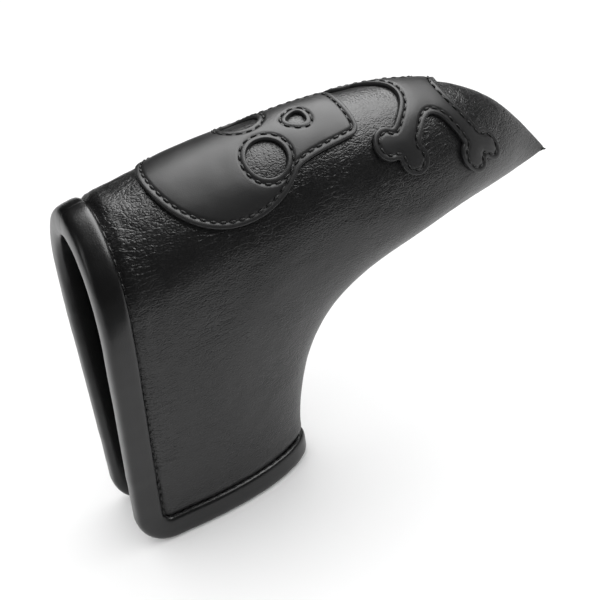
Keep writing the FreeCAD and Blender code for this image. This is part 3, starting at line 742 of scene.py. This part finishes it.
def build_shape(name, outline, holes, axis_q, leather_node, stitch_node, top):
    """A piece of thin leather cut to an outline with holes, laid on the top and sewn down."""
    loops = [closed_outline(outline, axis_q)] + [closed_outline(h, axis_q) for h in holes]
    inward = [turn_of(loops[0])] + [-turn_of(h) for h in loops[1:]]
    free = [inner_line(l, loops, d, w) for l, w in zip(loops, inward)
            for d in (0.12, 0.26, 0.45, 0.8, 1.2, 1.5, STITCH_INSET, 2.0, 2.4, 2.9)]
    low, high = loops[0].min(0), loops[0].max(0)
    gx, gq = np.meshgrid(np.arange(low[0], high[0], 0.9), np.arange(low[1], high[1], 0.9), indexing="ij")
    grid = np.stack([gx.ravel(), gq.ravel()], 1)
    grid = grid[inside(grid, loops[0])]
    for hole in loops[1:]:
        grid = grid[~inside(grid, hole)]
    gap = np.min([line_distance(grid, l, True) for l in loops], axis=0)
    grid = grid[gap > 3.2]
    fixed = np.vstack(loops)
    edges, start = [], 0
    for l in loops:
        edges += [(start + k, start + (k + 1) % len(l)) for k in range(len(l))]
        start += len(l)
    coords = np.vstack([fixed] + free + [grid])
    result = delaunay_2d_cdt([Vector(p) for p in coords.tolist()], edges, [], 1, 1e-5)
    flat = np.array([tuple(v) for v in result[0]])
    tris = np.array([f for f in result[2]])
    middle = flat[tris].mean(1)
    keep = inside(middle, loops[0])
    for hole in loops[1:]:
        keep &= ~inside(middle, hole)
    tris = tris[keep]
    d = np.min([line_distance(flat, l, True) for l in loops], axis=0)
    bevel = 0.4
    height = APPLIQUE - bevel + np.sqrt(bevel ** 2 - (bevel - np.clip(d, 0, bevel)) ** 2)
    height -= 0.38 * np.exp(-((d - STITCH_INSET) / 0.42) ** 2)
    height += 0.10 * smooth((d - 2.2) / 3)
    upper, normals = top.place(flat[:, 0], flat[:, 1], height)
    lower, normals = top.place(flat[:, 0], flat[:, 1], np.full(len(flat), -0.15))
    a, b, c = upper[tris[:, 0]], upper[tris[:, 1]], upper[tris[:, 2]]
    flipped = (np.cross(b - a, c - a) * normals[tris[:, 0]]).sum(1) < 0
    tris[flipped] = tris[flipped][:, ::-1]
    n = len(flat)
    half = np.concatenate([tris[:, [0, 1]], tris[:, [1, 2]], tris[:, [2, 0]]])
    keys = {(int(u), int(v)) for u, v in half}
    rim = [(u, v) for u, v in sorted(keys) if (v, u) not in keys]
    faces = [tuple(t) for t in tris.tolist()] + [tuple(t) for t in (tris[:, ::-1] + n).tolist()]
    faces += [(v, u, u + n, v + n) for u, v in rim]
    obj = mesh_object(name, np.vstack([upper, lower]), faces, MAT["smooth"])
    obj.data.materials.append(MAT["edge"])
    near = d < 0.2
    index = [1 if all(near[v % n] for v in f) else 0 for f in faces]
    obj.data.polygons.foreach_set("material_index", index)
    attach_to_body(obj, "crown")
    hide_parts(leather_node)
    sew(name, loops, inward, stitch_node, top)


def both_sides(line):
    """A near-side outline that starts and ends on the axis, with its mirror image."""
    return line + [(x, -w) for x, w in reversed(line) if w > 0.01]


MOTIF_AXIS_Q = 6.0      # the motif's axis lies this far in front of the ridge, along the surface
CRANIUM_CENTRE, CRANIUM_RADIUS = (49.0, 0.0), 24.0
JAW_END, JAW_HALF_WIDTH, JAW_CORNER = 90.0, 12.0, 4.0
EYE_CENTRE, EYE_RADIUS = (60.0, 9.0), 6.2
NOSE = [(69.5, 0.0), (77.0, 4.2), (77.0, -4.2)]
BONES_CENTRE_X = 116.0
BONE_TILT = 52.0        # each bone's angle from the motif's axis, in degrees
BONE_REACH = 25.0       # from the crossing to the middle of a bone's two knobs
BONE_HALF_WIDTH, KNOB_OFFSET, KNOB_RADIUS = 4.2, 4.6, 5.2


def arc(centre, radius, start, end, count):
    """Points along an arc, with its angles in degrees from the motif's axis."""
    angles = [math.radians(start + (end - start) * k / count) for k in range(count + 1)]
    return [(centre[0] + radius * math.cos(a), centre[1] + radius * math.sin(a)) for a in angles]


def skull_outline():
    """A round cranium towards the mouth and a narrower jaw with rounded corners towards the toe."""
    corner = (JAW_END - JAW_CORNER, JAW_HALF_WIDTH - JAW_CORNER)
    cranium = arc(CRANIUM_CENTRE, CRANIUM_RADIUS, 180, 36, 12)
    return both_sides(cranium + arc(corner, JAW_CORNER, 90, 0, 3) + [(JAW_END, 0)])


def eye_outline(side):
    return [(x, w * side) for x, w in arc(EYE_CENTRE, EYE_RADIUS, 0, 330, 11)]


def bone_end():
    """The end of a bone that lies along its own axis: two round knobs with a notch between them."""
    start = 180 - math.degrees(math.asin((KNOB_OFFSET - BONE_HALF_WIDTH) / KNOB_RADIUS))
    notch = 360 + math.degrees(math.asin(KNOB_OFFSET / KNOB_RADIUS))
    knob = arc((BONE_REACH, -KNOB_OFFSET), KNOB_RADIUS, start, notch, 11)
    return knob + [(u, -v) for u, v in reversed(knob[:-1])]


def turned(point, a):
    u, v = point
    return u * math.cos(a) - v * math.sin(a), u * math.sin(a) + v * math.cos(a)


def bones_outline():
    """Two straight bones that cross, walked arm by arm with the inner corner after each."""
    arms = [BONE_TILT, 180 - BONE_TILT, 180 + BONE_TILT, 360 - BONE_TILT]
    outline = []
    for arm, following in zip(arms, arms[1:] + [360 + BONE_TILT]):
        a = math.radians(arm)
        outline += [turned(point, a) for point in bone_end()]
        half_gap = math.radians(following - arm) / 2
        corner = BONE_HALF_WIDTH / math.sin(half_gap)
        outline.append((corner * math.cos(a + half_gap), corner * math.sin(a + half_gap)))
    return [(BONES_CENTRE_X + x, w) for x, w in outline]


def build_shapes():
    top = Top()
    holes = [eye_outline(1), eye_outline(-1), NOSE]
    build_shape("skull", skull_outline(), holes, MOTIF_AXIS_Q, "skull_applique", "skull_stitching", top)
    bones = bones_outline()
    build_shape("crossbones", bones, [], MOTIF_AXIS_Q, "crossbones_applique", "crossbones_stitching", top)


def dress_cad_nodes():
    """The pieces inside the wall keep their own shapes and get finished materials."""
    dressed = {"seam_tape": "cloth"}
    for side in ("front", "back"):
        dressed[side + "_flap_magnet"] = "nickel"
        dressed[side + "_flap_magnet_pocket"] = "cloth"
    for node, material in dressed.items():
        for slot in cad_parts[node].material_slots:
            slot.material = MAT[material]


build_padding_and_lining()
build_binding()
build_edge_stitches()
build_shapes()
dress_cad_nodes()


# ---- the studio -----------------------------------------------------------------------------------
def plane(name, size, place, material):
    """A flat sheet of the studio, divided a little."""
    x, y = size[0] / 2, size[1] / 2
    grid = np.array([[(a, b, 0) for b in np.linspace(-y, y, 9)] for a in np.linspace(-x, x, 9)])
    mesh = bpy.data.meshes.new(name)
    mesh.from_pydata(grid.reshape(-1, 3).tolist(), [], grid_faces(9, 9))
    mesh.materials.append(material)
    obj = bpy.data.objects.new(name, mesh)
    bpy.context.scene.collection.objects.link(obj)
    obj.location = place
    return obj


def area_light(name, place, target, size, power):
    data = bpy.data.lights.new(name, "AREA")
    data.shape, data.size, data.size_y, data.energy = "RECTANGLE", size[0], size[1], power
    obj = bpy.data.objects.new(name, data)
    bpy.context.scene.collection.objects.link(obj)
    obj.location = place
    way = Vector(target) - Vector(place)
    obj.rotation_euler = way.to_track_quat("-Z", "Y").to_euler()
    return obj


def studio():
    plane("floor", (8, 8), (0, 0, 0), MAT["floor"])
    flag = plane("dark_flag", (2.4, 1.4), (-0.1, -0.87, 0.002), MAT["flag"])
    flag.visible_camera = flag.visible_diffuse = flag.visible_shadow = False
    softbox = area_light("softbox", (0.38, 0.14, 0.85), (0, 0, 0.08), (1.25, 0.75), 20.5)
    softbox.visible_diffuse = False
    side = area_light("side", (-0.75, 0.05, 0.45), (0, 0, 0.06), (0.2, 0.5), 0.6)
    side.visible_diffuse = False
    world = bpy.data.worlds.new("world")
    bpy.context.scene.world = world
    world.use_nodes = True
    world.node_tree.nodes["Background"].inputs["Color"].default_value = (1, 1, 1, 1)
    world.node_tree.nodes["Background"].inputs["Strength"].default_value = 1.35
    world.cycles_visibility.glossy = False
    bpy.context.scene.view_settings.view_transform = "Standard"


CAMERA_DISTANCE = 0.32054               # metres from the point that it looks at
CAMERA_LOOKS_AT = (68.73, 0, 55.61)     # mm, x from the mouth line's zero and z from the wall's lower edge
CAMERA_ANGLES = (22.95, 30.96, -9.67)   # degrees round the object, above the floor, and of roll
CAMERA_LENS, CAMERA_SENSOR = 59.05, 36.0


def camera():
    data = bpy.data.cameras.new("camera")
    data.lens, data.sensor_width = CAMERA_LENS, CAMERA_SENSOR
    cam = bpy.data.objects.new("camera", data)
    bpy.context.scene.collection.objects.link(cam)
    th, ph, ro = [math.radians(a) for a in CAMERA_ANGLES]
    back = Vector((-math.sin(th) * math.cos(ph), -math.cos(th) * math.cos(ph), math.sin(ph)))
    target = (Vector(CAMERA_LOOKS_AT) + Vector((-CENTRE_X, 0, HEM_Z))) * MM
    right = (-back).cross(Vector((0, 0, 1))).normalized()
    up = right.cross(-back)
    x = right * math.cos(ro) + up * math.sin(ro)
    y = up * math.cos(ro) - right * math.sin(ro)
    turned_axes = Matrix((x, y, back)).transposed().to_4x4()
    cam.matrix_world = Matrix.Translation(target + back * CAMERA_DISTANCE) @ turned_axes
    data.clip_start, data.clip_end = 0.01, 20
    bpy.context.scene.camera = cam


studio()
camera()
